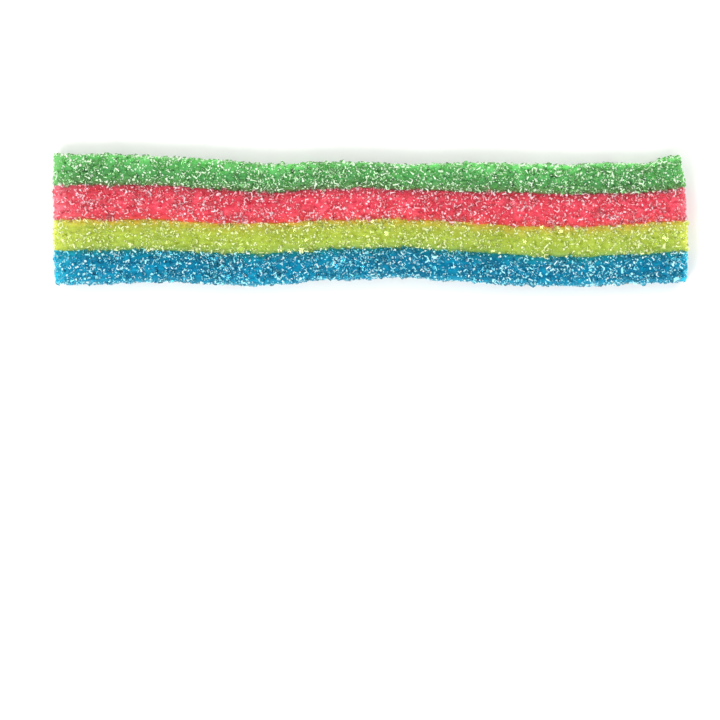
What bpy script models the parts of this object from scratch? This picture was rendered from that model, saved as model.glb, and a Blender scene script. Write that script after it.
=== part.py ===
"""Sour gummy ribbon: four soft coloured bands side by side, with coarse sugar grains on every outer face.

The ribbon lies flat along X, with the green band on the +Y side. Z = 0 is the surface that it lies on.
Each band runs through the whole thickness and shows at both cut ends. Sizes are in metres.
"""
import math
import random

import bmesh
import bpy
import numpy as np
from mathutils import Euler, Matrix, Vector

MM = 0.001

# The gummy body
LEFT_CUT = -54.3 * MM
RIGHT_CUT = 53.8 * MM
RIGHT_CUT_SLANT = 0.45 * MM  # the blue corner reaches this much further than the middle, the green one less
THICKNESS = 2.8 * MM
ARCH = 0.45 * MM  # the middle lies this much higher than the two cut ends
ROLL = 0.25 * MM  # midway along, the green edge is this much higher again, and the blue edge lower
SEAM_GAP = 0.3 * MM  # clearance between one band and the next

# The ribbon's uneven outline, in millimetres: distance along it, how far across the red and yellow
# bands meet, and how far the outline reaches from there on the green side and on the blue side.
OUTLINE = (
    (-54.3, -0.30, 11.65, 10.80),
    (-45.0, -0.37, 11.80, 10.83),
    (-36.0, -0.32, 11.35, 10.60),
    (-27.0, -0.85, 11.25, 10.32),
    (-18.0, -0.92, 10.65, 10.35),
    (-9.0, -0.50, 10.48, 10.08),
    (0.0, -0.25, 10.07, 10.05),
    (5.5, -0.30, 9.82, 9.75),
    (11.0, -0.57, 10.18, 9.93),
    (18.0, -0.95, 10.68, 9.88),
    (27.0, -1.31, 10.91, 9.96),
    (36.0, -1.55, 11.11, 9.93),
    (45.0, -1.18, 11.03, 9.97),
    (54.3, -0.55, 11.50, 10.40),
)
GREEN_SHARE = 0.465  # of the reach on the green side, the rest being red
YELLOW_SHARE = 0.455  # of the reach on the blue side, the rest being blue

# How finely a band is cut, and how round its edges are
SLICES = 42
STRIPS = 3
EDGE_ROUND = 0.95 * MM
ROUND_STEPS = 2
OUTER_EDGE, SEAM_EDGE, CUT_EDGE = 1.0, 0.35, 0.3  # shares of EDGE_ROUND

# The coarse sugar
GRAINS_ON_TOP = 58
GRAINS_BELOW = 34
GRAINS_ON_SIDE = 10
GRAINS_ON_CUT = 2
GRAIN_WIDTH = (0.85 * MM, 1.25 * MM)
GRAIN_STANDS = (0.28 * MM, 0.43 * MM)  # how far a grain stands out of the gummy
GRAIN_SPACING = 1.5 * MM
GRAIN_SHAPE = (1.0, 0.8, 0.65)  # length, breadth and depth, as shares of its width
GRAIN_UNEVEN = 0.16
GRAIN_SEED = 41
FROM_SEAM, FROM_EDGE, FROM_CUT = 0.19, 0.27, 0.012  # bare margins of a face, as shares of its size

FLOOR_CLEARANCE = GRAIN_STANDS[1]  # the lowest grains carry the gummy clear of the surface
GREEN, RED, YELLOW, BLUE = range(4)
BANDS = (
    ("green_band", (0.115, 0.420, 0.130)),
    ("red_band", (0.780, 0.098, 0.130)),
    ("yellow_band", (0.450, 0.580, 0.085)),
    ("blue_band", (0.022, 0.250, 0.405)),
)
GUMMY_ROUGHNESS = 0.55


def smooth_through(column, along):
    """One column of the outline, read on a smooth curve through its stations. Millimetres in and out."""
    stations = np.array(OUTLINE)
    places, values = stations[:, 0], stations[:, column]
    slopes = np.gradient(values, places)
    here = int(np.clip(np.searchsorted(places, along) - 1, 0, len(places) - 2))
    step = places[here + 1] - places[here]
    t = (along - places[here]) / step
    rise = t * t * (3 - 2 * t)
    start_bend = t * (1 - t) ** 2 * slopes[here]
    end_bend = t * t * (t - 1) * slopes[here + 1]
    return values[here] * (1 - rise) + values[here + 1] * rise + step * (start_bend + end_bend)


def lines_across(x):
    """The five lines that bound the bands at x, from the green edge to the blue edge."""
    along = x / MM
    seam = smooth_through(1, along) * MM
    green_reach = smooth_through(2, along) * MM
    blue_reach = smooth_through(3, along) * MM
    return (
        seam + green_reach,
        seam + green_reach * (1 - GREEN_SHARE),
        seam,
        seam - blue_reach * YELLOW_SHARE,
        seam - blue_reach,
    )


def underside(x, y):
    """Height of the gummy's underside: lowest at the two cut ends, and gently arched and rolled between them."""
    middle = math.sin(math.pi * (x - LEFT_CUT) / (RIGHT_CUT - LEFT_CUT)) ** 2
    half_width = OUTLINE[0][2] * MM
    return FLOOR_CLEARANCE + middle * (ARCH + ROLL * y / half_width)


def band_point(band, along, across, up):
    """A point of a band. along runs from cut to cut, across from its blue side to its green side, all from 0 to 1."""
    x = LEFT_CUT + along * (RIGHT_CUT - LEFT_CUT)
    lines = lines_across(x)
    high = lines[band] - (0 if band == GREEN else SEAM_GAP / 2)
    low = lines[band + 1] + (0 if band == BLUE else SEAM_GAP / 2)
    y = low + across * (high - low)
    x -= along * RIGHT_CUT_SLANT * y / lines[0]
    return Vector((x, y, underside(x, y) + up * THICKNESS))


def band_body(band, name):
    """A band: a block cut into slices, laid along the outline, and with its edges rounded."""
    block = bmesh.new()
    bmesh.ops.create_cube(block, size=1, matrix=Matrix.Translation((0.5, 0.5, 0.5)))
    for axis, cuts in ((0, SLICES - 1), (1, STRIPS - 1)):
        crossing = [e for e in block.edges if abs(e.verts[0].co[axis] - e.verts[1].co[axis]) > 0.5]
        bmesh.ops.subdivide_edges(block, edges=crossing, cuts=cuts, use_grid_fill=True)

    rounding = block.edges.layers.float.new("bevel_weight_edge")
    for edge in block.edges:
        edge[rounding] = edge_share(band, edge)
    for vertex in block.verts:
        vertex.co = band_point(band, *vertex.co)

    mesh = bpy.data.meshes.new(name)
    block.to_mesh(mesh)
    block.free()
    body = bpy.data.objects.new(name, mesh)
    bevel = body.modifiers.new("rounded_edges", "BEVEL")
    bevel.limit_method = "WEIGHT"
    bevel.width = EDGE_ROUND
    bevel.segments = ROUND_STEPS
    return body


def edge_share(band, edge):
    """How round an edge of the block becomes. Edges that lie inside a face stay as they are."""
    corners = [vertex.co for vertex in edge.verts]
    faces = [(axis, end) for axis in range(3) for end in (0, 1)
             if all(abs(corner[axis] - end) < 1e-6 for corner in corners)]
    if len(faces) < 2:
        return 0
    if (0, 0) in faces or (0, 1) in faces:
        return CUT_EDGE
    outer_face = {GREEN: (1, 1), BLUE: (1, 0)}.get(band)
    return OUTER_EDGE if outer_face in faces else SEAM_EDGE


def grain_places(band, dice):
    """Places on a band's outer faces for its grains, as (point, outward direction), well apart from each other."""
    low = FROM_EDGE if band == BLUE else FROM_SEAM
    high = 1 - (FROM_EDGE if band == GREEN else FROM_SEAM)
    faces = [("up", 1, GRAINS_ON_TOP), ("up", 0, GRAINS_BELOW)]
    faces += [("along", end, GRAINS_ON_CUT) for end in (0, 1)]
    if band in (GREEN, BLUE):
        faces.append(("across", 1 if band == GREEN else 0, GRAINS_ON_SIDE))

    found = []
    for face, end, count in faces:
        wanted = len(found) + count
        while len(found) < wanted:
            along = dice.uniform(FROM_CUT, 1 - FROM_CUT)
            across = dice.uniform(low, high)
            up = dice.uniform(0.38, 0.62)
            sign = 2 * end - 1
            if face == "up":
                place = band_point(band, along, across, end)
                outward = Vector((0, 0, sign))
            elif face == "across":
                place = band_point(band, along, end, up)
                outward = Vector((0, sign, 0))
            else:
                place = band_point(band, end, across, up)
                outward = Vector((sign, 0, 0))
            if all((place - other).length > GRAIN_SPACING for other, _ in found):
                found.append((place, outward))
    return found


def sugar_grain(place, outward, dice):
    """One grain: an uneven six-sided block at any angle, sunk in the gummy until the right height stands out."""
    width = dice.uniform(*GRAIN_WIDTH)
    turn = Euler([dice.uniform(0, math.tau) for _ in range(3)]).to_matrix()
    block = bmesh.new()
    bmesh.ops.create_cube(block, size=width)
    for corner in block.verts:
        uneven = [share * dice.uniform(1 - GRAIN_UNEVEN, 1 + GRAIN_UNEVEN) for share in GRAIN_SHAPE]
        corner.co = turn @ Vector([side * share for side, share in zip(corner.co, uneven)])
    stands_out = max(corner.co.dot(outward) for corner in block.verts)
    sink = dice.uniform(*GRAIN_STANDS) - stands_out
    bmesh.ops.translate(block, verts=block.verts, vec=place + outward * sink)
    bmesh.ops.triangulate(block, faces=block.faces)
    mesh = bpy.data.meshes.new("grain")
    block.to_mesh(mesh)
    block.free()
    return bpy.data.objects.new("grain", mesh)


def sugared(body, band, collection):
    """Joins a band's grains to it as one solid, and removes the loose ones."""
    dice = random.Random(GRAIN_SEED + band)
    grains = bpy.data.collections.new(body.name + "_grains")
    bpy.context.scene.collection.children.link(grains)
    for place, outward in grain_places(band, dice):
        grains.objects.link(sugar_grain(place, outward, dice))

    collection.objects.link(body)
    join = body.modifiers.new("sugar", "BOOLEAN")
    join.operation = "UNION"
    join.operand_type = "COLLECTION"
    join.collection = grains
    join.solver = "EXACT"
    graph = bpy.context.evaluated_depsgraph_get()
    joined = bpy.data.meshes.new_from_object(body.evaluated_get(graph))
    body.modifiers.clear()
    body.data = joined
    for grain in list(grains.objects):
        bpy.data.objects.remove(grain)
    bpy.data.collections.remove(grains)


def gummy(name, colour):
    """The soft, slightly dull finish of one band."""
    material = bpy.data.materials.new(name)
    material.use_nodes = True
    shader = material.node_tree.nodes["Principled BSDF"]
    shader.inputs["Base Color"].default_value = (*colour, 1)
    shader.inputs["Roughness"].default_value = GUMMY_ROUGHNESS
    shader.inputs["Metallic"].default_value = 0
    return material


def main():
    for old in list(bpy.data.objects):
        bpy.data.objects.remove(old)
    ribbon = bpy.data.collections.new("sour_gummy_ribbon")
    bpy.context.scene.collection.children.link(ribbon)
    for band, (name, colour) in enumerate(BANDS):
        body = band_body(band, name)
        sugared(body, band, ribbon)
        body.data.materials.clear()
        body.data.materials.append(gummy(name, colour))


main()
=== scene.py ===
import math
from collections import namedtuple

import bmesh
import bpy
import numpy as np
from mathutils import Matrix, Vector


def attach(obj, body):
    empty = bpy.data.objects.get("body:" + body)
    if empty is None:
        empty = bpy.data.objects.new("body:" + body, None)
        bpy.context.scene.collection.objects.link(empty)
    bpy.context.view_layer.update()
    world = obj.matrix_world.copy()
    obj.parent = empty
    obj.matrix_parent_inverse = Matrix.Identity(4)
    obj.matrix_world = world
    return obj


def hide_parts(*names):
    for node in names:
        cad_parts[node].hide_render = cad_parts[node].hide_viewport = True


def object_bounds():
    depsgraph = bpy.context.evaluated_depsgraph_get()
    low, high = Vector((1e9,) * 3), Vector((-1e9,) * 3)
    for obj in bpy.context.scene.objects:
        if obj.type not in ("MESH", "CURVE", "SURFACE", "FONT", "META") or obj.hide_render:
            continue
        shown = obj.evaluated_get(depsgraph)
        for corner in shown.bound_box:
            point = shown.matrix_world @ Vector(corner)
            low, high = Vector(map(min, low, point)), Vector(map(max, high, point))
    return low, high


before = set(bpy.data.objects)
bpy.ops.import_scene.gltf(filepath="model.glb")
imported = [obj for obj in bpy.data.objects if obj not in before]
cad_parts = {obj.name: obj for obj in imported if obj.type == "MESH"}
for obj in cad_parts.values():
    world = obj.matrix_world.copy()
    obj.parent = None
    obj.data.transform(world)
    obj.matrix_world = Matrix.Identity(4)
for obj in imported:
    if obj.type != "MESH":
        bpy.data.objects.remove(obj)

CAD_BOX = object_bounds()
MM = 0.001
BODY = "root"

# The ribbon's form, as in the CAD
LEFT_CUT, RIGHT_CUT = -54.3, 53.8
LEFT_CUT_BEND = (0.20, -0.012, 0.0)  # how far each cut lies to the right, as a curve across the ribbon
RIGHT_CUT_BEND = (0.05, -0.045, -0.0046)
CUT_WOBBLE, CUT_WOBBLE_SIZE = 0.10, 1.6
THICKNESS = 2.8
ARCH = 0.45
ROLL = 0.25
FLOOR_CLEARANCE = 0.43  # the sugar below carries the gummy this high
OUTLINE = np.array((
    (-54.3, 10.98, 5.78, -0.12, -5.48, -10.88),
    (-45.0, 11.12, 5.82, -0.19, -5.43, -10.96),
    (-36.0, 10.64, 5.65, -0.21, -5.34, -10.66),
    (-27.0, 10.06, 4.99, -0.75, -5.87, -10.96),
    (-18.0, 9.33, 4.52, -0.76, -5.91, -11.12),
    (-9.0, 9.61, 4.93, -0.35, -5.28, -10.36),
    (0.0, 9.43, 5.05, -0.12, -4.96, -10.10),
    (5.5, 9.20, 4.93, -0.19, -4.93, -9.84),
    (11.0, 9.33, 4.80, -0.43, -5.33, -10.28),
    (18.0, 9.49, 4.61, -0.80, -5.81, -10.66),
    (27.0, 9.43, 4.36, -1.33, -6.36, -11.18),
    (36.0, 9.26, 4.26, -1.41, -6.52, -11.30),
    (44.0, 9.56, 4.50, -0.93, -6.04, -10.94),
    (47.8, 9.38, 4.66, -0.63, -5.86, -10.94),
    (50.5, 10.34, 5.04, -0.45, -5.70, -10.78),
    (54.3, 11.01, 5.40, -0.27, -5.58, -10.72),
))  # along, then across: the green edge, the three lines where bands meet, and the blue edge
HALF_WIDTH = 11.5
BAND_NAMES = ("green", "red", "yellow", "blue")
GREEN, BLUE = 0, 3  # the outer two bands

# The gummy's skin
SLICE = 0.5  # the distance from one ring of points to the next
ACROSS_POINTS, ROUND_POINTS, SIDE_POINTS, CUT_POINTS = 40, 6, 6, 6
OUTER_ROUND, SEAM_ROUND, CUT_ROUND = 0.95, 0.24, 0.22
SEAM_OVERLAP = 0.03
LEAST_TURN = 0.1  # a point that is turned up, down or outwards by less than this lies on a seam wall
RIB_PITCH, RIB_DEPTH = 0.86, 0.045
RIB_WANDER, RIB_WANDER_SIZE = 0.35, 14
RIB_UNEVEN, RIB_UNEVEN_SIZE = 0.3, 5
LUMP_SIZE, LUMP_DEPTH = 4.2, 0.07
DIMPLE_SIZE, DIMPLE_DEPTH = 0.9, 0.035
TOP_SHIFT = 40  # keeps the lumps on top unlike those underneath
CROWN = 0.10
CUT_RAGGED, CUT_RAGGED_SIZE = 0.07, 0.9
CUT_RINGS = (0.93, 0.82, 0.66, 0.48, 0.3, 0.12)  # the rings that close a cut, as shares of its outline
LINE_WOBBLE = ((1.1, 0.09), (3.7, 0.10))  # how far the lines between bands waver, over each distance

# The sugar
CRYSTAL_KINDS = 16
COARSE_PER_MM2, COARSE_SIZE, COARSE_SPACING, COARSE_CUTS = 1.5, (0.38, 1.06), 0.45, 6
FINE_PER_MM2, FINE_SIZE, FINE_SPACING, FINE_CUTS = 3.3, (0.18, 0.44), 0.2, 2
SIZE_POWER = 2.1  # the higher, the more of the crystals are small
CRYSTAL_BREADTH, CRYSTAL_DEPTH = (0.7, 0.95), (0.55, 0.85)  # as shares of its length
CORNER_REACH = (0.84, 1.0)
BREAK_REACH = (0.68, 0.86)  # how far from its middle a crystal is broken off, as a share of its reach there
WORN_KIND = 5  # every fifth kind of coarse crystal has worn edges, and the rest are broken
WORN_EDGE, WORN_EDGE_SPREAD = 0.16, (0.6, 1.3)
WORN_FROST, BROKEN_FROST = 0.45, 0.48  # the share of worn edges that is frosted, and of small broken faces
COARSE_SMALL_FACE, FINE_SMALL_FACE = 0.24, 1  # a face below this area is a small one
STANDS_OUT = (0.40, 0.75)
CRYSTAL_TILT = 0.35
PATCH_SIZE, PATCH_CONTRAST, PATCH_POWER, PATCH_RISE = 2.7, 0.7, 1.5, 1.5
PATCH_SHIFT = 60  # keeps the patches on top unlike those underneath
SEAM_SUGAR, SEAM_SUGAR_REACH = 0.6, 0.6
BARE_SEAM, BARE_SEAM_SUGAR = 0.1, 0.15
CUT_GLOW_FADE = (0.6, 1.3)  # how fast the painted glow of light through the left cut and through the right cut fades inwards
RIM, RIM_GLOW_FADE = 2.4, 1.3  # below this height on the outer sides and the cuts, the painted glow there fades too, this fast
SIDE_SUGAR, CUT_SUGAR = 1.3, 1.8  # how much thicker the sugar lies on the outer sides and on the cuts
SIDE_STANDS_OUT = 0.5  # there it stands out less
SIDE_FROST = (0.45, 0.45, 0.45, 0.2)  # there this share of small crystals is frosted all over, by band
SIDE_FROST_SIZE, SIDE_FROST_SLOPE = 0.5, 0.25  # the largest of those, and how steep the skin is from there
CUT_CRYSTAL = 0.62  # the largest crystal on a cut
SIDE_PALENESS = (0.7, 0.7, 0.7, 0.2)  # how much creamier the sugar is on the sides, by band
BAND_SUGAR = (1.32, 1.0, 0.95, 1.27)  # how much thicker it lies on each band
FACES_CUT, FACES_SIDE, FACES_UP = 0.6, 0.8, 0.6  # how squarely a face looks along, across or up
SUGAR_FLOOR, SUGAR_CEILING = 0.01, CAD_BOX[1].z / MM + 0.05

# The seeds of the random draws
LINE_SEED, LEFT_CUT_SEED, RIGHT_CUT_SEED, CUT_FACE_SEED = 50, 61, 62, 20
RIB_WANDER_SEED, RIB_UNEVEN_SEED, LUMP_SEED, DIMPLE_SEED = 5, 6, 7, 8
PATCH_SEED, SHAPE_SEED, PLACE_SEED, TURN_SEED = 31, 3, 100, 500
SEEDS_PER_BAND = 10

# The looks of the gummy. Scales of noise are in bumps for each metre.
# The soak noise makes both the neighbours' colours and the painted glow of light at the outer edges and cuts
# reach unevenly.
SOAK_AND_GLOW_NOISE, STREAK_NOISE, PATCH_NOISE, MOTTLE_NOISE, BUMP_NOISE = 420, 900, 150, 1300, 2600
STREAK_STRETCH = (0.07, 1, 1)
LEAST_REACH = 0.001  # in millimetres, so that no tone is divided by nothing
PALE_MOTTLE, DEEP_MOTTLE = (0.5, 0.72), (0.48, 0.26)  # the noise where each starts, and where it is full
SHADE_START, SHADE_GAIN = 0.12, 1.6
SPECK_SCALE, SPECK_REACH, SPECK_STRENGTH, SPECK_SHARE = 3300, (0.42, 0.2), 0.7, 0.5
GUMMY_ROUGHNESS, GUMMY_ROUGHNESS_SPREAD = 0.25, 0.3
BUMP_STRENGTH, BUMP_DEPTH = 0.6, 0.06
SPREAD_SHARE, SPREAD_DEPTH, SPREAD_TINT = 0.35, 1.2, (1.0, 0.7, 0.6)  # how light spreads under its skin
GUMMY_IOR, GUMMY_GLOSS = 1.45, 0.12

# The looks of the sugar
CLEAR_CLEARNESS = 0.95
FROST_CLEARNESS = (0.25, 0.34, 0.36, 0.23)  # how far a frosted face is still clear, by band
LIGHT_THROUGH = (0.35, 0.6, 0.75, 0.3)  # the share of lamplight that a clear crystal lets through, by band
FROST_LIGHT_THROUGH = 0.12
GLINT_WHITENESS = (0, 0, 0.25, 0)  # how much whiter a clear crystal's glints are than its tint, by band
CLEAR_FINISH = {"Smooth": 0.03, "Dull": 0.2}  # the roughness of its brightest crystals and of its dullest
FROSTED_FINISH = {"Smooth": 0.3, "Dull": 0.6}
WEAR_NOISE, CREAM_NOISE = 1800, 3200
CREAM_POWER, CREAM_GAIN, CREAM_START = 1.3, 1.6, 0.2
SUGAR_IOR = 1.54

LIGHT_LEVEL = 1.5  # how brightly the studio lights a level white surface

Skin = namedtuple("Skin", "points triangles normals weights")


def paint(red, green, blue):
    """The colour that a surface needs to look like this one, 0 to 255, in the studio's light."""
    shares = np.array((red, green, blue)) / 255
    linear = np.where(shares <= 0.04045, shares / 12.92, ((shares + 0.055) / 1.055) ** 2.4)
    return (*(float(share) / LIGHT_LEVEL for share in linear), 1.0)


def soft_noise(x, y, cell, seed):
    """Smooth random heights from -1 to 1, with bumps about one cell across."""
    lattice = np.random.default_rng(seed).uniform(-1, 1, (256, 256))
    u, v = np.asarray(x) / cell, np.asarray(y) / cell
    i, j = np.floor(u).astype(int), np.floor(v).astype(int)
    s, t = u - i, v - j
    s, t = s * s * (3 - 2 * s), t * t * (3 - 2 * t)
    near = lattice[i % 256, j % 256] * (1 - s) + lattice[(i + 1) % 256, j % 256] * s
    far = lattice[i % 256, (j + 1) % 256] * (1 - s) + lattice[(i + 1) % 256, (j + 1) % 256] * s
    return near * (1 - t) + far * t


# The form of the ribbon

def smooth_through(column, along):
    """One column of the outline, read on a smooth curve through its stations."""
    places, values = OUTLINE[:, 0], OUTLINE[:, column]
    slopes = np.gradient(values, places)
    here = np.clip(np.searchsorted(places, along) - 1, 0, len(places) - 2)
    step = places[here + 1] - places[here]
    t = (along - places[here]) / step
    rise = t * t * (3 - 2 * t)
    start_bend = t * (1 - t) ** 2 * slopes[here]
    end_bend = t * t * (t - 1) * slopes[here + 1]
    return values[here] * (1 - rise) + values[here + 1] * rise + step * (start_bend + end_bend)


def lines_across(x):
    """The five lines that bound the bands at x, from green edge to blue edge, each a little unsteady."""
    lines = []
    for row in range(5):
        wobble = sum(size * soft_noise(x, 0 * x, cell, LINE_SEED + row) for cell, size in LINE_WOBBLE)
        lines.append(smooth_through(1 + row, x) + wobble)
    return lines


def underside(x, y):
    """Height of the gummy's underside: lowest at the two cuts, gently arched and rolled between them."""
    middle = np.sin(np.pi * np.clip((x - LEFT_CUT) / (RIGHT_CUT - LEFT_CUT), 0, 1)) ** 2
    return FLOOR_CLEARANCE + middle * (ARCH + ROLL * y / HALF_WIDTH)


def section(low_round, high_round):
    """A band's section, once round from its low corner underneath.

    Each point has its share of the width, its offset from there, its height and its outward direction.
    """
    share, offset, height, way_y, way_z = [], [], [], [], []

    def flat(start, end, at, up):
        for t in np.linspace(0, 1, ACROSS_POINTS, endpoint=False):
            share.append(start + (end - start) * t)
            bend = low_round * (1 - share[-1]) - high_round * share[-1]
            offset.append(bend)
            height.append(at)
            way_y.append(0)
            way_z.append(up)

    def corner(side, radius, start):
        inward = 1 if side == 0 else -1
        middle = radius if start in (180, 270) else THICKNESS - radius
        for angle in np.radians(np.linspace(start, start + 90, ROUND_POINTS, endpoint=False)):
            share.append(side)
            offset.append(inward * radius + radius * math.cos(angle))
            height.append(middle + radius * math.sin(angle))
            way_y.append(math.cos(angle))
            way_z.append(math.sin(angle))

    def wall(side, radius, upwards):
        heights = np.linspace(radius, THICKNESS - radius, SIDE_POINTS, endpoint=False)
        for level in heights if upwards else THICKNESS - heights:
            share.append(side)
            offset.append(0)
            height.append(level)
            way_y.append(2 * side - 1)
            way_z.append(0)

    flat(0, 1, 0, -1)
    corner(1, high_round, 270)
    wall(1, high_round, True)
    corner(1, high_round, 0)
    flat(1, 0, THICKNESS, 1)
    corner(0, low_round, 90)
    wall(0, low_round, False)
    corner(0, low_round, 180)
    return tuple(np.array(column, float) for column in (share, offset, height, way_y, way_z))


def band_skin(band):
    """A band's closed skin: rings of points along it, with a cut face at each end.

    Returns its points, its faces, the distances that its colours follow, and which points lie on a seam wall.
    """
    low_round = OUTER_ROUND if band == BLUE else SEAM_ROUND
    high_round = OUTER_ROUND if band == GREEN else SEAM_ROUND
    share, offset, height, way_y, way_z = section(low_round, high_round)

    turn = CUT_ROUND * (1 - np.cos(np.linspace(0, np.pi / 2, CUT_POINTS)))
    middle = np.arange(LEFT_CUT + CUT_ROUND + SLICE, RIGHT_CUT - CUT_ROUND - SLICE / 2, SLICE)
    x = np.concatenate((LEFT_CUT + turn, middle, RIGHT_CUT - turn[::-1]))[:, None]
    from_cut = np.minimum(x - LEFT_CUT, RIGHT_CUT - x)

    lines = lines_across(x)
    high = lines[band] + (0 if band == GREEN else SEAM_OVERLAP)
    low = lines[band + 1] - (0 if band == BLUE else SEAM_OVERLAP)
    across = share * (high - low) + offset
    up = np.broadcast_to(height, across.shape)

    outer = (way_y > LEAST_TURN) & (band == GREEN) | (way_y < -LEAST_TURN) & (band == BLUE)
    shows = (np.abs(way_z) > LEAST_TURN) | outer
    relief = skin_relief(x, low + across, share, way_z) * shows
    across = across + relief * way_y
    up = up + relief * way_z

    close = np.clip(CUT_ROUND - from_cut, 0, CUT_ROUND)
    inset = CUT_ROUND - np.sqrt(CUT_ROUND ** 2 - close ** 2)
    half_width, half_height = (high - low) / 2, THICKNESS / 2
    across = half_width + (across - half_width) * (1 - inset / half_width)
    up = half_height + (up - half_height) * (1 - inset / half_height)

    rings = np.stack((np.broadcast_to(x, across.shape), across, up), axis=-1)
    left, right = (cut_face(rings[end], half_width[end, 0], half_height, band, end) for end in (0, -1))
    rings = np.concatenate((left[::-1], rings, right))
    cut_rings = (len(left), len(right))
    widths = np.pad((high - low)[:, 0], cut_rings, mode="edge")[:, None]
    lows = np.pad(low[:, 0], cut_rings, mode="edge")[:, None]

    # The distances that the tones follow: from the seams for the neighbours' colours soaking in, and from the
    # outer edges and the cuts for the painted glow of light through the gummy, which also fades down the
    # sides below the rim
    from_left = (rings[..., 0] - LEFT_CUT) * CUT_GLOW_FADE[0]
    from_right = (RIGHT_CUT - rings[..., 0]) * CUT_GLOW_FADE[1]
    below_rim = np.maximum(RIM - rings[..., 2], 0) * RIM_GLOW_FADE
    measures = {
        "from_low": rings[..., 1] + below_rim * (band == BLUE),
        "from_high": widths - rings[..., 1] + below_rim * (band == GREEN),
        "from_cut": np.maximum(np.minimum(from_left, from_right), 0) + below_rim,
    }

    points = rings.copy()
    points[..., 1] += lows
    along = np.clip((points[..., 0] - LEFT_CUT) / (RIGHT_CUT - LEFT_CUT), 0, 1)
    points[..., 2] += underside(points[..., 0], points[..., 1])
    points[..., 0] += along * cut_line(points[..., 1], RIGHT_CUT_BEND, RIGHT_CUT_SEED)
    points[..., 0] += (1 - along) * cut_line(points[..., 1], LEFT_CUT_BEND, LEFT_CUT_SEED)

    faces = ring_faces(*points.shape[:2])
    on_wall = np.tile(~shows, len(rings))
    return points.reshape(-1, 3), faces, {name: reach.ravel() for name, reach in measures.items()}, on_wall


def cut_line(y, bend, seed):
    """How far a cut end lies to the right of its straight line, at each place across the ribbon."""
    wobble = CUT_WOBBLE * soft_noise(y, 0 * y, CUT_WOBBLE_SIZE, seed)
    return bend[0] + bend[1] * y + bend[2] * y ** 2 + wobble


def skin_relief(x, y, share, way_z):
    """How far the skin stands out or in: ribs along the band, lumps, dimples, and a low crown across it."""
    wander = RIB_WANDER * soft_noise(x, y, RIB_WANDER_SIZE, RIB_WANDER_SEED)
    strength = 1 - RIB_UNEVEN + RIB_UNEVEN * soft_noise(x, y, RIB_UNEVEN_SIZE, RIB_UNEVEN_SEED)
    ribs = RIB_DEPTH * np.cos(2 * np.pi * (y + wander) / RIB_PITCH) * strength
    lumps = LUMP_DEPTH * soft_noise(x, y + TOP_SHIFT * way_z, LUMP_SIZE, LUMP_SEED)
    dimples = DIMPLE_DEPTH * soft_noise(x, y + TOP_SHIFT * way_z, DIMPLE_SIZE, DIMPLE_SEED)
    crown = CROWN * (np.sin(np.pi * np.clip(share, 0, 1)) - 1)
    flat = np.abs(way_z) > 0.99
    return (ribs + crown) * flat + lumps + dimples


def cut_face(ring, half_width, half_height, band, end):
    """Rings that close a cut end, towards its middle, on a slightly ragged face."""
    middle = np.array((ring[0, 0], half_width, half_height))
    rings = []
    for size in CUT_RINGS:
        smaller = middle + (ring - middle) * size
        ragged = soft_noise(smaller[:, 1], smaller[:, 2], CUT_RAGGED_SIZE, CUT_FACE_SEED + band - 5 * end)
        smaller[:, 0] += CUT_RAGGED * ragged * (1 - size)
        rings.append(smaller)
    return np.array(rings)


def ring_faces(rings, around):
    """The four-cornered faces between rings, and the last ring's own face at each end."""
    ring, spot = np.meshgrid(np.arange(rings - 1), np.arange(around), indexing="ij")
    following = (spot + 1) % around
    corners = (ring * around + spot, ring * around + following,
               (ring + 1) * around + following, (ring + 1) * around + spot)
    sides = np.stack(corners, axis=-1).reshape(-1, 4)
    first = list(range(around - 1, -1, -1))
    last = list(range((rings - 1) * around, rings * around))
    return sides.tolist() + [first, last]


# Meshes

def mesh_piece(name, points, faces, smooth):
    """An object from points in millimetres."""
    mesh = bpy.data.meshes.new(name)
    mesh.from_pydata((np.asarray(points) * MM).tolist(), [], faces)
    mesh.polygons.foreach_set("use_smooth", [smooth] * len(mesh.polygons))
    mesh.update()
    piece = bpy.data.objects.new(name, mesh)
    bpy.context.scene.collection.objects.link(piece)
    return piece


def crystal_shapes(cuts, some_worn, small_face, dice):
    """Kinds of sugar crystal, each about 1 across: an uneven block, either with worn edges or broken.

    Each is its corners, its triangles and which of those are frosted: some worn edges, or some small faces.
    """
    shapes = []
    for kind in range(CRYSTAL_KINDS):
        block = bmesh.new()
        bmesh.ops.create_cube(block, size=1)
        proportions = (1, dice.uniform(*CRYSTAL_BREADTH), dice.uniform(*CRYSTAL_DEPTH))
        bmesh.ops.scale(block, vec=proportions, verts=block.verts)
        for corner in block.verts:
            corner.co *= dice.uniform(*CORNER_REACH)
        if some_worn and kind % WORN_KIND == 0:
            width = WORN_EDGE * dice.uniform(*WORN_EDGE_SPREAD)
            worn = bmesh.ops.bevel(block, geom=block.edges[:], offset=width, segments=1, affect="EDGES")
            frost_some(worn["faces"], WORN_FROST, dice)
        else:
            for _ in range(cuts):
                break_off(block, dice)
            small = [face for face in block.faces if face.calc_area() < small_face]
            frost_some(small, BROKEN_FROST, dice)
        bmesh.ops.recalc_face_normals(block, faces=block.faces)
        bmesh.ops.triangulate(block, faces=block.faces)
        block.verts.index_update()
        corners = np.array([corner.co for corner in block.verts])
        faces = np.array([[corner.index for corner in face.verts] for face in block.faces])
        shapes.append((corners, faces, [face.material_index for face in block.faces]))
        block.free()
    return shapes


def break_off(block, dice):
    """Breaks a corner or an edge off a crystal, along a flat face."""
    facing = Vector(dice.normal(size=3)).normalized()
    reach = max(corner.co.dot(facing) for corner in block.verts)
    bmesh.ops.bisect_plane(
        block, geom=block.verts[:] + block.edges[:] + block.faces[:],
        plane_co=facing * reach * dice.uniform(*BREAK_REACH), plane_no=facing, clear_outer=True)
    bmesh.ops.holes_fill(block, edges=[edge for edge in block.edges if edge.is_boundary])


def frost_some(faces, share, dice):
    """Gives a share of these faces the second material, which is frosted."""
    for face in faces:
        face.material_index = int(dice.random() < share)


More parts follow.
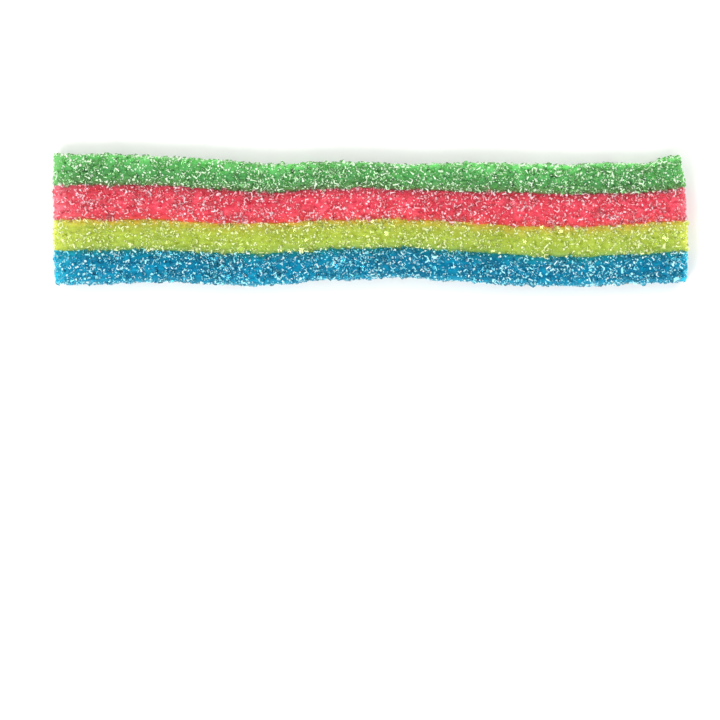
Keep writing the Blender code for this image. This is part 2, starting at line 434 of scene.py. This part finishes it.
def scatter(skin, per_mm2, spacing, seed):
    """Places and outward directions on a skin, well apart, thicker in some patches and along the seams."""
    dice = np.random.default_rng(seed)
    corners = skin.points[skin.triangles]
    crossed = np.cross(corners[:, 1] - corners[:, 0], corners[:, 2] - corners[:, 0])
    areas = np.linalg.norm(crossed, axis=1) / 2
    chances = areas * skin.weights
    count = int(areas[skin.weights > 0].sum() * per_mm2)
    chosen = dice.choice(len(areas), size=count * 2, p=chances / chances.sum())
    a, b = dice.random((2, len(chosen), 1))
    flip = a + b > 1
    a, b = np.where(flip, 1 - a, a), np.where(flip, 1 - b, b)
    here = corners[chosen]
    places = here[:, 0] + a * (here[:, 1] - here[:, 0]) + b * (here[:, 2] - here[:, 0])

    kept, cells = [], {}
    for index, place in enumerate(places):
        cell = tuple(np.floor(place / spacing).astype(int))
        around = [cells.get((cell[0] + i, cell[1] + j, cell[2] + k), ())
                  for i in (-1, 0, 1) for j in (-1, 0, 1) for k in (-1, 0, 1)]
        if all(np.sum((places[other] - place) ** 2) > spacing ** 2 for near in around for other in near):
            cells.setdefault(cell, []).append(index)
            kept.append(index)
        if len(kept) == count:
            break
    return places[kept], skin.normals[chosen][kept]


def sugar_piece(name, band, skin, shapes, per_mm2, sizes, spacing, seed):
    """All the coarse or all the fine crystals on a band, as one piece."""
    places, outward = scatter(skin, per_mm2 * BAND_SUGAR[band], spacing, seed)
    dice = np.random.default_rng(seed + TURN_SEED)
    count = len(places)
    kinds = dice.integers(0, len(shapes), count)
    size = sizes[0] + (sizes[1] - sizes[0]) * dice.random(count) ** SIZE_POWER
    size = np.where(np.abs(outward[:, 0]) > FACES_CUT, np.minimum(size, CUT_CRYSTAL), size)
    yaw = dice.random(count) * 2 * np.pi
    tilts = dice.normal(0, CRYSTAL_TILT, (count, 2))
    steep = 1 - np.abs(outward[:, 2])
    stands = dice.uniform(*STANDS_OUT, count) * size * (1 - steep * (1 - SIDE_STANDS_OUT))
    may_frost = (steep > SIDE_FROST_SLOPE) & (size < SIDE_FROST_SIZE)
    all_frosted = dice.random(count) < SIDE_FROST[band] * may_frost
    tones = dice.random(count)
    tones = 1 - (1 - tones) * (1 - SIDE_PALENESS[band] * steep)

    nearly_x = np.abs(outward[:, :1]) > 0.8
    side = np.cross(outward, np.where(nearly_x, (0, 1, 0), (1, 0, 0)))
    side /= np.linalg.norm(side, axis=1, keepdims=True)
    frames = np.stack((side, np.cross(outward, side), outward), axis=-1)
    turns = frames @ spin(yaw, 2) @ spin(tilts[:, 0], 0) @ spin(tilts[:, 1], 1)

    points, faces, tone, frost, start = [], [], [], [], 0
    for kind, (corners, triangles, frosted) in enumerate(shapes):
        mine = np.flatnonzero(kinds == kind)
        placed = np.einsum("nij,vj->nvi", turns[mine], corners) * size[mine, None, None]
        reach = np.einsum("nvi,ni->nv", placed, outward[mine]).max(axis=1)
        placed += (places[mine] + outward[mine] * (stands[mine] - reach)[:, None])[:, None]
        placed[..., 2] += np.maximum(SUGAR_FLOOR - placed[..., 2].min(axis=1), 0)[:, None]
        placed[..., 2] -= np.maximum(placed[..., 2].max(axis=1) - SUGAR_CEILING, 0)[:, None]
        points.append(placed.reshape(-1, 3))
        steps = start + np.arange(len(mine)) * len(corners)
        faces.append((triangles[None] + steps[:, None, None]).reshape(-1, 3))
        tone.append(np.repeat(tones[mine], len(corners)))
        frost.append((np.array(frosted)[None] | all_frosted[mine, None]).ravel())
        start += len(mine) * len(corners)
    piece = mesh_piece(name, np.concatenate(points), np.concatenate(faces).tolist(), smooth=False)
    write_measure(piece, "tone", np.concatenate(tone))
    piece.data.polygons.foreach_set("material_index", np.concatenate(frost))
    return piece


def spin(angles, axis):
    """Turns by many angles about X, Y or Z."""
    first, second = ((1, 2), (2, 0), (0, 1))[axis]
    turns = np.tile(np.eye(3), (len(angles), 1, 1))
    turns[:, first, first] = turns[:, second, second] = np.cos(angles)
    turns[:, first, second], turns[:, second, first] = -np.sin(angles), np.sin(angles)
    return turns


def write_measure(piece, name, values):
    """Stores one number per point, for the materials to read."""
    measure = piece.data.attributes.new(name, "FLOAT", "POINT")
    measure.data.foreach_set("value", np.asarray(values, np.float32))


# Materials

def add(tree, kind, *, inputs=None, **settings):
    """A node with its settings, and its sockets either linked or given a value."""
    node = tree.nodes.new(kind)
    for name, value in settings.items():
        setattr(node, name, value)
    for name, value in (inputs or {}).items():
        if isinstance(value, bpy.types.NodeSocket):
            tree.links.new(value, node.inputs[name])
        else:
            node.inputs[name].default_value = value
    return node


def maths(tree, operation, first, second=0.0):
    """The result of one sum on two sockets or values."""
    return add(tree, "ShaderNodeMath", operation=operation, inputs={0: first, 1: second}).outputs[0]


def blended(tree, share, start, end, mode="MIX"):
    """Two colours mixed by a share."""
    mix = add(tree, "ShaderNodeMix", data_type="RGBA", blend_type=mode, inputs={0: share, 6: start, 7: end})
    return mix.outputs[2]


def measure(tree, name):
    """A number that write_measure stored."""
    return add(tree, "ShaderNodeAttribute", attribute_name=name).outputs["Fac"]


def ramp(tree, value, start, end, top=1.0):
    """A value brought to 0 at start and to top at end, and kept within them."""
    limits = {"Value": value, "From Min": start, "From Max": end, "To Max": top}
    return add(tree, "ShaderNodeMapRange", inputs=limits).outputs[0]


def noise(tree, scale, detail=2.0, stretch=(1, 1, 1)):
    """Smooth noise from 0 to 1. The scale is in bumps for each metre."""
    place = add(tree, "ShaderNodeTexCoord").outputs["Object"]
    mapping = add(tree, "ShaderNodeMapping", inputs={"Vector": place, "Scale": stretch})
    sockets = {"Vector": mapping.outputs[0], "Scale": scale, "Detail": detail}
    return add(tree, "ShaderNodeTexNoise", inputs=sockets).outputs["Fac"]


def specks(tree):
    """A mask of fine sugar dust: small dots, in a share of the cells that they could be in."""
    place = add(tree, "ShaderNodeTexCoord").outputs["Object"]
    cells = add(tree, "ShaderNodeTexVoronoi", inputs={"Vector": place, "Scale": SPECK_SCALE})
    dots = ramp(tree, cells.outputs["Distance"], *SPECK_REACH, top=SPECK_STRENGTH)
    chance = add(tree, "ShaderNodeSeparateColor", inputs={0: cells.outputs["Color"]}).outputs[0]
    return maths(tree, "MULTIPLY", dots, maths(tree, "GREATER_THAN", chance, 1 - SPECK_SHARE))


def new_group(name, inputs, outputs):
    """An empty shader node group with named sockets."""
    group = bpy.data.node_groups.new(name, "ShaderNodeTree")
    for label, kind in inputs:
        group.interface.new_socket(label, in_out="INPUT", socket_type=kind)
    for label, kind in outputs:
        group.interface.new_socket(label, in_out="OUTPUT", socket_type=kind)
    return group, add(group, "NodeGroupInput").outputs, add(group, "NodeGroupOutput").inputs


def gummy_tone_group():
    """A band's colour: its own, its neighbours' colours soaking in at its seams, a painted glow of light
    through the ribbon's outer edges and the cuts, and painted shade in patches, all uneven.
    """
    group, given, out = new_group(
        "gummy_tone",
        [("Body", "NodeSocketColor"), ("Low Soak And Glow", "NodeSocketColor"), ("Low Reach", "NodeSocketFloat"),
         ("High Soak And Glow", "NodeSocketColor"), ("High Reach", "NodeSocketFloat"),
         ("Cut Glow", "NodeSocketColor"), ("Cut Reach", "NodeSocketFloat"),
         ("Shadow", "NodeSocketColor"), ("Light", "NodeSocketColor")],
        [("Color", "NodeSocketColor"), ("Roughness", "NodeSocketFloat"), ("Height", "NodeSocketFloat")])
    uneven = maths(group, "ADD", noise(group, SOAK_AND_GLOW_NOISE, detail=3), 0.5)
    streaks = noise(group, STREAK_NOISE, detail=3, stretch=STREAK_STRETCH)
    patches = noise(group, PATCH_NOISE)
    mottle = noise(group, MOTTLE_NOISE, detail=3)
    pale = ramp(group, mottle, *PALE_MOTTLE)
    deep = ramp(group, mottle, *DEEP_MOTTLE)
    colour = blended(group, pale, given["Body"], given["Light"])
    # On a seam a side tone is the neighbour's colour soaking in; on the ribbon's outer edges and at the cuts
    # it is a painted glow of light shining through the gummy
    for side, tone_reach, distance in (("Low Soak And Glow", "Low Reach", "from_low"),
                                     ("High Soak And Glow", "High Reach", "from_high"),
                                     ("Cut Glow", "Cut Reach", "from_cut")):
        reach = maths(group, "MAXIMUM", maths(group, "MULTIPLY", given[tone_reach], uneven), LEAST_REACH)
        inwards = maths(group, "MULTIPLY", measure(group, distance), -1.0)
        fade = maths(group, "EXPONENT", maths(group, "DIVIDE", inwards, reach))
        colour = blended(group, fade, colour, given[side])
    colour = blended(group, specks(group), colour, given["Light"], mode="SCREEN")
    dark = maths(group, "MULTIPLY", maths(group, "SUBTRACT", 1.0, streaks), patches)
    dark = maths(group, "MULTIPLY", maths(group, "SUBTRACT", dark, SHADE_START), SHADE_GAIN)
    dark = add(group, "ShaderNodeClamp", inputs={"Value": dark}).outputs[0]
    shade = maths(group, "MAXIMUM", dark, deep)
    spread = maths(group, "MULTIPLY", patches, GUMMY_ROUGHNESS_SPREAD)
    group.links.new(blended(group, shade, colour, given["Shadow"]), out["Color"])
    group.links.new(maths(group, "ADD", spread, GUMMY_ROUGHNESS), out["Roughness"])
    group.links.new(maths(group, "ADD", streaks, noise(group, BUMP_NOISE)), out["Height"])
    return group


def gummy_material(name, group, tones):
    """Soft, slightly glossy gummy. Light spreads a little way under its skin."""
    material = bpy.data.materials.new(name)
    material.use_nodes = True
    tree = material.node_tree
    shader = tree.nodes["Principled BSDF"]
    tone = add(tree, "ShaderNodeGroup", node_tree=group, inputs=tones)
    bump = add(tree, "ShaderNodeBump", inputs={
        "Strength": BUMP_STRENGTH, "Distance": BUMP_DEPTH * MM, "Height": tone.outputs["Height"]})
    tree.links.new(tone.outputs["Color"], shader.inputs["Base Color"])
    tree.links.new(tone.outputs["Roughness"], shader.inputs["Roughness"])
    tree.links.new(bump.outputs[0], shader.inputs["Normal"])
    shader.inputs["Subsurface Weight"].default_value = SPREAD_SHARE
    shader.inputs["Subsurface Scale"].default_value = SPREAD_DEPTH * MM
    shader.inputs["Subsurface Radius"].default_value = SPREAD_TINT
    shader.inputs["IOR"].default_value = GUMMY_IOR
    shader.inputs["Specular IOR Level"].default_value = GUMMY_GLOSS
    return material


def sugar_tone_group():
    """A crystal's tint, from its clear one to its cream one, and its roughness, from smooth to dull."""
    group, given, out = new_group(
        "sugar_tone",
        [("Clear", "NodeSocketColor"), ("Cream", "NodeSocketColor"), ("Smooth", "NodeSocketFloat"),
         ("Dull", "NodeSocketFloat")],
        [("Color", "NodeSocketColor"), ("Roughness", "NodeSocketFloat")])
    tone = measure(group, "tone")
    wear = maths(group, "MULTIPLY", tone, noise(group, WEAR_NOISE))
    span = maths(group, "SUBTRACT", given["Dull"], given["Smooth"])
    added = maths(group, "MULTIPLY", wear, span)
    uneven = maths(group, "MULTIPLY", noise(group, CREAM_NOISE, detail=3), CREAM_GAIN)
    uneven = maths(group, "ADD", uneven, CREAM_START)
    pale = maths(group, "MULTIPLY", maths(group, "POWER", tone, CREAM_POWER), uneven)
    pale = maths(group, "MINIMUM", pale, 1.0)
    group.links.new(blended(group, pale, given["Clear"], given["Cream"]), out["Color"])
    group.links.new(maths(group, "ADD", given["Smooth"], added), out["Roughness"])
    return group


def sugar_material(name, group, clearness, lets_through, glint_whiteness, tones):
    """Clear or frosted sugar. Some lamplight goes straight through it, so the gummy below stays bright."""
    material = bpy.data.materials.new(name)
    material.use_nodes = True
    tree = material.node_tree
    shader = tree.nodes["Principled BSDF"]
    lamplight = add(tree, "ShaderNodeLightPath").outputs["Is Shadow Ray"]
    through = add(tree, "ShaderNodeBsdfTransparent", inputs={"Color": (*[lets_through] * 3, 1)}).outputs[0]
    mixed = add(tree, "ShaderNodeMixShader", inputs={0: lamplight, 1: shader.outputs[0], 2: through})
    tree.links.new(mixed.outputs[0], tree.nodes["Material Output"].inputs["Surface"])
    tone = add(tree, "ShaderNodeGroup", node_tree=group, inputs=tones)
    tree.links.new(tone.outputs["Color"], shader.inputs["Base Color"])
    tree.links.new(tone.outputs["Roughness"], shader.inputs["Roughness"])
    glint = [tint + (1 - tint) * glint_whiteness for tint in tones["Clear"]]
    shader.inputs["Specular Tint"].default_value = glint
    shader.inputs["Transmission Weight"].default_value = clearness
    shader.inputs["IOR"].default_value = SUGAR_IOR
    return material


# A band's colours, from green to blue. A reach is in millimetres, like the distances that the colours follow.
# The cut tone, green's high side tone and blue's low side tone are a painted glow of light shining through
# the gummy's edges. The other side tones are a neighbour's colour soaking in, and the shadow tone is painted
# shade.
BAND_TONES = (
    {"Body": paint(95, 182, 107), "Shadow": paint(17, 66, 25), "Light": paint(117, 216, 127),
     "Low Soak And Glow": paint(152, 112, 84), "Low Reach": 0.65, "High Soak And Glow": paint(152, 276, 146), "High Reach": 1.4,
     "Cut Glow": paint(160, 250, 150), "Cut Reach": 1.1},
    {"Body": paint(267, 90, 112), "Shadow": paint(204, 35, 57), "Light": paint(294, 129, 147),
     "Low Soak And Glow": paint(272, 122, 62), "Low Reach": 0.4, "High Soak And Glow": paint(176, 68, 80), "High Reach": 0.75,
     "Cut Glow": paint(285, 165, 180), "Cut Reach": 1.1},
    {"Body": paint(196, 220, 84), "Shadow": paint(139, 160, 32), "Light": paint(216, 240, 110),
     "Low Soak And Glow": paint(112, 188, 134), "Low Reach": 0.5, "High Soak And Glow": paint(270, 178, 74), "High Reach": 0.75,
     "Cut Glow": paint(266, 276, 120), "Cut Reach": 1.5},
    {"Body": paint(0, 160, 205), "Shadow": paint(0, 56, 96), "Light": paint(18, 186, 226),
     "Low Soak And Glow": paint(50, 178, 208), "Low Reach": 0.6, "High Soak And Glow": paint(40, 164, 128), "High Reach": 0.6,
     "Cut Glow": paint(78, 274, 306), "Cut Reach": 0.9},
)

# How the gummy colours the sugar on it, by band: clear crystals from deep to light, then frosted ones
CLEAR_TINTS = (
    {"Clear": (0.48, 0.93, 0.44, 1), "Cream": (0.72, 0.98, 0.66, 1)},
    {"Clear": (1.0, 0.33, 0.40, 1), "Cream": (1.0, 0.58, 0.62, 1)},
    {"Clear": (0.88, 0.97, 0.36, 1), "Cream": (0.93, 1.0, 0.56, 1)},
    {"Clear": (0.12, 0.72, 0.92, 1), "Cream": (0.34, 0.88, 1.0, 1)},
)
FROSTED_TINTS = (
    {"Clear": (0.74, 1.0, 0.68, 1), "Cream": (0.95, 1.0, 0.87, 1)},
    {"Clear": (1.0, 0.62, 0.68, 1), "Cream": (1.0, 0.90, 0.92, 1)},
    {"Clear": (0.90, 0.97, 0.46, 1), "Cream": (0.98, 1.0, 0.73, 1)},
    {"Clear": (0.30, 0.91, 1.0, 1), "Cream": (0.87, 0.99, 1.0, 1)},
)


def make_ribbon():
    """The four bands, each with its own sugar."""
    dice = np.random.default_rng(SHAPE_SEED)
    coarse_shapes = crystal_shapes(COARSE_CUTS, True, COARSE_SMALL_FACE, dice)
    fine_shapes = crystal_shapes(FINE_CUTS, False, FINE_SMALL_FACE, dice)
    kinds = (("coarse", coarse_shapes, COARSE_PER_MM2, COARSE_SIZE, COARSE_SPACING),
             ("fine", fine_shapes, FINE_PER_MM2, FINE_SIZE, FINE_SPACING))
    tone_group, sugar_group = gummy_tone_group(), sugar_tone_group()

    for band, name in enumerate(BAND_NAMES):
        points, faces, measures, on_wall = band_skin(band)
        gummy = mesh_piece(name + "_gummy", points, faces, smooth=True)
        for label, values in measures.items():
            write_measure(gummy, label, values)
        gummy.data.materials.append(gummy_material(name + "_gummy", tone_group, BAND_TONES[band]))
        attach(gummy, BODY)
        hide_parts(name + "_band")

        skin = sugared_skin(gummy, on_wall, measures, band)
        clear = sugar_material(
            name + "_clear_sugar", sugar_group, CLEAR_CLEARNESS, LIGHT_THROUGH[band], GLINT_WHITENESS[band],
            {**CLEAR_TINTS[band], **CLEAR_FINISH})
        frosted = sugar_material(
            name + "_frosted_sugar", sugar_group, FROST_CLEARNESS[band], FROST_LIGHT_THROUGH, 0,
            {**FROSTED_TINTS[band], **FROSTED_FINISH})
        for number, (kind, shapes, per_mm2, sizes, spacing) in enumerate(kinds):
            seed = PLACE_SEED + SEEDS_PER_BAND * band + number
            sugar = sugar_piece(f"{name}_{kind}_sugar", band, skin, shapes, per_mm2, sizes, spacing, seed)
            sugar.data.materials.append(clear)
            sugar.data.materials.append(frosted)
            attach(sugar, BODY)


def sugared_skin(gummy, on_wall, measures, band):
    """A band's skin as triangles, and how thickly sugar lies on each of them. Its seam walls have none."""
    mesh = gummy.data
    mesh.calc_loop_triangles()
    triangles = np.empty(len(mesh.loop_triangles) * 3, int)
    mesh.loop_triangles.foreach_get("vertices", triangles)
    triangles = triangles.reshape(-1, 3)
    points = np.empty(len(mesh.vertices) * 3)
    mesh.vertices.foreach_get("co", points)
    points = points.reshape(-1, 3) / MM
    corners = points[triangles]
    normals = np.cross(corners[:, 1] - corners[:, 0], corners[:, 2] - corners[:, 0])
    length = np.maximum(np.linalg.norm(normals, axis=1, keepdims=True), 1e-9)
    middles = corners.mean(axis=1)

    unrolled_x = middles[:, 0] + PATCH_RISE * middles[:, 2]
    unrolled_y = middles[:, 1] + PATCH_SHIFT * (normals[:, 2] > 0)
    patches = 0.5 + 0.5 * soft_noise(unrolled_x, unrolled_y, PATCH_SIZE, PATCH_SEED)
    weights = 1 - PATCH_CONTRAST + PATCH_CONTRAST * 2 * patches ** PATCH_POWER
    to_seam = np.full(len(triangles), np.inf)
    if band != BLUE:
        to_seam = np.minimum(to_seam, measures["from_low"][triangles].mean(axis=1))
    if band != GREEN:
        to_seam = np.minimum(to_seam, measures["from_high"][triangles].mean(axis=1))
    weights = weights + SEAM_SUGAR * np.exp(-np.maximum(to_seam, 0) / SEAM_SUGAR_REACH)
    weights = weights * np.clip(to_seam / BARE_SEAM, BARE_SEAM_SUGAR, 1)
    facing = np.abs(normals / length)
    on_cut, on_side = facing[:, 0] > FACES_CUT, facing[:, 1] > FACES_SIDE
    weights = weights * np.where(on_cut, CUT_SUGAR, np.where(on_side, SIDE_SUGAR, 1))
    turned_in = (facing[:, 2] < FACES_UP) & (to_seam < 2 * SEAM_ROUND)
    in_seam = (turned_in | on_wall[triangles].all(axis=1)) & (facing[:, 0] < FACES_CUT)
    weights = np.where(in_seam, 0, weights)
    return Skin(points, triangles, normals / length, weights)


# The studio

FLOOR_SIZE = 3.0
VIEW_CENTRE = (-1.92, -24.1)  # where the camera looks straight down, from the ribbon's origin
CAMERA_HEIGHT = 0.40
VIEW_WIDTH = 0.12297  # the width of floor that the picture takes in, at the ribbon's height
VIEW_LEVEL = 3.0  # that height
TENT_TOP, TENT_SIDES = 0.15, 1.9  # the light tent glows from its sides, and its top is dim
FLOOR_COLOUR, FLOOR_ROUGHNESS = (0.9, 0.9, 0.89, 1), 0.8
SENSOR_WIDTH = 36


def make_studio():
    """The pale floor, the light tent, two lamps, and the camera straight above."""
    scene = bpy.context.scene
    bpy.ops.mesh.primitive_plane_add(size=FLOOR_SIZE, location=(0, 0, 0))
    floor = bpy.context.object
    floor.name = "floor"
    material = bpy.data.materials.new("pale_floor")
    material.use_nodes = True
    shader = material.node_tree.nodes["Principled BSDF"]
    shader.inputs["Base Color"].default_value = FLOOR_COLOUR
    shader.inputs["Roughness"].default_value = FLOOR_ROUGHNESS
    floor.data.materials.append(material)

    world = bpy.data.worlds.new("studio")
    world.use_nodes = True
    tent = world.node_tree
    direction = add(tent, "ShaderNodeTexCoord").outputs["Generated"]
    upward = add(tent, "ShaderNodeSeparateXYZ", inputs={0: direction}).outputs["Z"]
    level = maths(tent, "SUBTRACT", 1.0, maths(tent, "MULTIPLY", upward, upward))
    glow = maths(tent, "ADD", maths(tent, "MULTIPLY", level, TENT_SIDES), TENT_TOP)
    tent.links.new(glow, tent.nodes["Background"].inputs["Strength"])
    tent.nodes["Background"].inputs["Color"].default_value = (1, 1, 1, 1)
    scene.world = world
    soft_light("key", place=(-0.30, -0.38, 0.42), size=0.24, power=2.0)
    soft_light("rim", place=(0.34, 0.30, 0.40), size=0.14, power=0.7)

    lens = bpy.data.cameras.new("camera")
    camera = bpy.data.objects.new("camera", lens)
    scene.collection.objects.link(camera)
    camera.location = (VIEW_CENTRE[0] * MM, VIEW_CENTRE[1] * MM, CAMERA_HEIGHT + VIEW_LEVEL * MM)
    lens.sensor_width = SENSOR_WIDTH
    lens.lens = SENSOR_WIDTH * CAMERA_HEIGHT / VIEW_WIDTH
    lens.clip_start, lens.clip_end = 0.01, 10
    scene.camera = camera
    scene.view_settings.view_transform = "Standard"


def soft_light(name, place, size, power):
    """A round lamp that faces the ribbon and can't be seen itself."""
    light = bpy.data.lights.new(name, "AREA")
    light.shape = "DISK"
    light.size = size
    light.energy = power
    lamp = bpy.data.objects.new(name, light)
    lamp.location = place
    lamp.rotation_euler = (Vector((0, 0, 0)) - Vector(place)).to_track_quat("-Z", "Y").to_euler()
    lamp.visible_camera = False
    bpy.context.scene.collection.objects.link(lamp)


make_ribbon()
make_studio()
